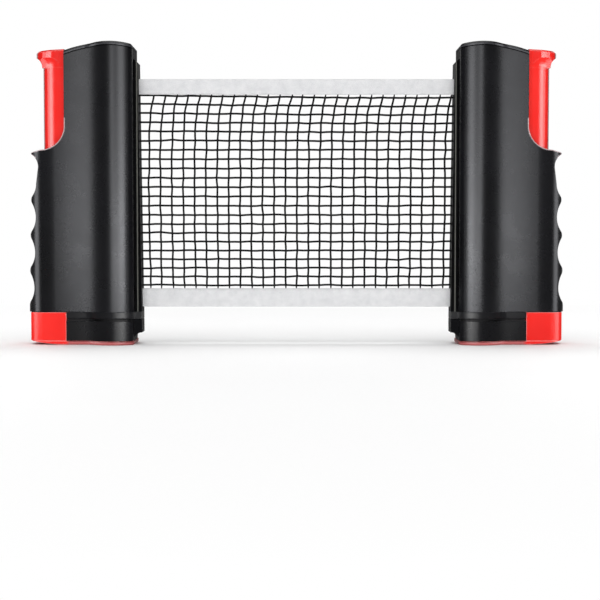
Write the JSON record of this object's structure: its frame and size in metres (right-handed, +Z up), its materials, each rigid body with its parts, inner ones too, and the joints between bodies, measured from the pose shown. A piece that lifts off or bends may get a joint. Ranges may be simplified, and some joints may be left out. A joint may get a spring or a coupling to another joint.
{
  "type": "table tennis net set",
  "caption": "Retractable table tennis net between two mirrored posts, each with a spring jaw opened by a thumb lever.",
  "frame": {"origin": "on the floor, midway between the posts, in the plane of the net", "axes": "+Z up, +X along the net from the left post to the right post, the front faces -Y"},
  "size_m": [0.3398, 0.038, 0.1903],
  "materials": {
    "black_plastic": "fine satin moulded plastic",
    "grey_plastic": "satin moulded plastic",
    "red_plastic": "glossy moulded plastic",
    "black_rubber": "matte rubber",
    "white_plastic": "plain moulded plastic",
    "steel": "zinc plated",
    "net_fabric": "woven nylon mesh",
    "white_tape": "woven cotton tape"
  },
  "bodies": {
    "left_post": {"left_housing_front": "black_plastic", "left_housing_rear": "black_plastic", "left_top_cap": "black_plastic", "left_slot_trim": "black_rubber", "left_jaw_plate": "grey_plastic", "left_upper_pad": "black_rubber", "left_reel_arbor": "steel", "left_spring_cup": "white_plastic", "left_power_spring": "steel", "left_clamp_spring": "steel", "left_housing_screws": "steel", "left_plate_screws": "steel", "net_mesh": "net_fabric", "net_top_tape": "white_tape", "net_bottom_tape": "white_tape"},
    "left_jaw": {"left_press_lever": "red_plastic", "left_jaw_block": "black_plastic", "left_lower_pad": "black_rubber", "left_block_screws": "steel"},
    "left_reel": {"left_reel_tube": "white_plastic", "left_reel_lower_bush": "white_plastic", "left_reel_upper_bush": "white_plastic", "left_wound_net": "net_fabric"},
    "right_post": {"right_housing_front": "black_plastic", "right_housing_rear": "black_plastic", "right_top_cap": "black_plastic", "right_slot_trim": "black_rubber", "right_jaw_plate": "grey_plastic", "right_upper_pad": "black_rubber", "right_reel_arbor": "steel", "right_spring_cup": "white_plastic", "right_power_spring": "steel", "right_clamp_spring": "steel", "right_housing_screws": "steel", "right_plate_screws": "steel"},
    "right_jaw": {"right_press_lever": "red_plastic", "right_jaw_block": "black_plastic", "right_lower_pad": "black_rubber", "right_block_screws": "steel"},
    "right_reel": {"right_reel_tube": "white_plastic", "right_reel_lower_bush": "white_plastic", "right_reel_upper_bush": "white_plastic", "right_wound_net": "net_fabric"}
  },
  "joints": [
    {"name": "net_extension", "type": "slide", "parent": "left_post", "child": "right_post", "axis": [1, 0, 0], "range_m": [-0.1961, 1.5], "deforming": ["net_mesh", "net_top_tape", "net_bottom_tape"]},
    {"name": "left_jaw_slide", "type": "slide", "parent": "left_post", "child": "left_jaw", "axis": [0, 0, -1], "range_m": [0, 0.045], "stiffness_N_per_m": 600, "springref_m": -0.03, "deforming": ["left_clamp_spring"]},
    {"name": "left_reel_spin", "type": "hinge", "parent": "left_post", "child": "left_reel", "pos_m": [-0.118, 0, 0.1], "axis": [0, 0, 1], "range_deg": [-3614.6, 476.9], "deforming": ["left_power_spring"]},
    {"name": "right_jaw_slide", "type": "slide", "parent": "right_post", "child": "right_jaw", "axis": [0, 0, -1], "range_m": [0, 0.045], "stiffness_N_per_m": 600, "springref_m": -0.03, "deforming": ["right_clamp_spring"]},
    {"name": "right_reel_spin", "type": "hinge", "parent": "right_post", "child": "right_reel", "pos_m": [0.118, 0, 0.1], "axis": [0, 0, 1], "range_deg": [-476.9, 3614.6], "deforming": ["right_power_spring"]}
  ],
  "couplings": [
    {"joint": "left_reel_spin", "follows": "net_extension", "rad_per_m": -42},
    {"joint": "right_reel_spin", "follows": "net_extension", "rad_per_m": 42}
  ]
}
